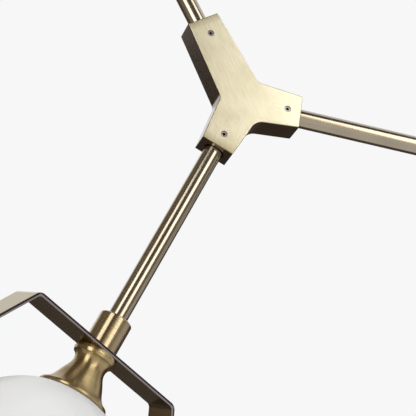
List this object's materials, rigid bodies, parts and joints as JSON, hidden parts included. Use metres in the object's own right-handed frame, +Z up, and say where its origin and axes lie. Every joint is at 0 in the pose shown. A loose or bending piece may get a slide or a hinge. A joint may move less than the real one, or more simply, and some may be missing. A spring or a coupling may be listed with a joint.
{
  "type": "branch chandelier",
  "caption": "Ceiling chandelier with a zigzag trunk of antique brass tube, three-way hubs and opal globes framed by flat hexagonal bands.",
  "frame": {"origin": "middle of the crossbar's top face, on the ceiling plane and on the stem's axis", "axes": "+Z up towards the ceiling; the branches lie in the XZ plane; the hubs' set screws face the front, -Y"},
  "size_m": [1.0036, 0.1456, 1.1648],
  "materials": {
    "antique_brass": "turned and brushed, antique brass, lacquered",
    "blackened_steel": "black oxide",
    "brown_patina_brass": "drawn tube with a brown antique patina, polished highlights",
    "brushed_brass": "brushed along each arm, pale antique brass, lacquered",
    "clear_lamp_glass": "frosted capsule",
    "dark_patina_brass": "flat bar with a dark antique patina",
    "green_lacquered_steel": "green lacquer",
    "opal_glass": "satin opal, white all through",
    "turned_aluminium": "turned thread ring",
    "white_ceramic": "unglazed steatite",
    "white_nylon": "moulded",
    "zinc_plated_steel": "bright zinc plating"
  },
  "bodies": {
    "ceiling_mount": {"ceiling_crossbar": "zinc_plated_steel", "mounting_rod": "zinc_plated_steel", "mounting_nuts": "zinc_plated_steel", "ground_screw": "green_lacquered_steel", "terminal_block": "white_nylon", "stem_coupling": "antique_brass", "coupling_set_screw": "blackened_steel"},
    "canopy_cup": {"canopy": "antique_brass", "canopy_ring": "antique_brass", "canopy_ring_screw": "blackened_steel"},
    "branch_frame": {"stem": "brown_patina_brass", "trunk_elbow": "brushed_brass", "elbow_set_screws": "blackened_steel", "upper_trunk_tube": "brown_patina_brass", "upper_hub": "brushed_brass", "upper_hub_set_screws": "blackened_steel", "lower_trunk_tube": "brown_patina_brass", "lower_hub": "brushed_brass", "lower_hub_set_screws": "blackened_steel"},
    "left_lamp": {"left_arm_tube": "brown_patina_brass", "left_collar": "antique_brass", "left_hexagon_band": "dark_patina_brass", "left_globe_fitter": "antique_brass", "left_threaded_rod": "zinc_plated_steel", "left_lock_nut": "zinc_plated_steel", "left_glass_ring": "turned_aluminium", "left_lampholder": "white_ceramic", "left_bulb": "clear_lamp_glass", "left_opal_globe": "opal_glass"},
    "right_lamp": {"right_arm_tube": "brown_patina_brass", "right_collar": "antique_brass", "right_hexagon_band": "dark_patina_brass", "right_globe_fitter": "antique_brass", "right_threaded_rod": "zinc_plated_steel", "right_lock_nut": "zinc_plated_steel", "right_glass_ring": "turned_aluminium", "right_lampholder": "white_ceramic", "right_bulb": "clear_lamp_glass", "right_opal_globe": "opal_glass"},
    "bottom_lamp": {"bottom_arm_tube": "brown_patina_brass", "bottom_collar": "antique_brass", "bottom_hexagon_band": "dark_patina_brass", "bottom_globe_fitter": "antique_brass", "bottom_threaded_rod": "zinc_plated_steel", "bottom_lock_nut": "zinc_plated_steel", "bottom_glass_ring": "turned_aluminium", "bottom_lampholder": "white_ceramic", "bottom_bulb": "clear_lamp_glass", "bottom_opal_globe": "opal_glass"}
  },
  "joints": [
    {"name": "stem_turn", "type": "hinge", "parent": "ceiling_mount", "child": "branch_frame", "pos_m": [0, 0, -0.058], "axis": [0, 0, 1], "range_deg": [-175, 175]},
    {"name": "canopy_slide", "type": "slide", "parent": "ceiling_mount", "child": "canopy_cup", "axis": [0, 0, -1], "range_m": [0, 0.19]},
    {"name": "left_lamp_turn", "type": "hinge", "parent": "branch_frame", "child": "left_lamp", "pos_m": [-0.11024, 0, -0.44258], "axis": [-0.9914, 0, -0.1305], "range_deg": [-175, 175]},
    {"name": "right_lamp_turn", "type": "hinge", "parent": "branch_frame", "child": "right_lamp", "pos_m": [0.14256, 0, -0.77964], "axis": [0.9914, 0, -0.1305], "range_deg": [-175, 175]},
    {"name": "bottom_lamp_turn", "type": "hinge", "parent": "branch_frame", "child": "bottom_lamp", "pos_m": [0.08589, 0, -0.80914], "axis": [-0.4617, 0, -0.887], "range_deg": [-175, 175]}
  ]
}
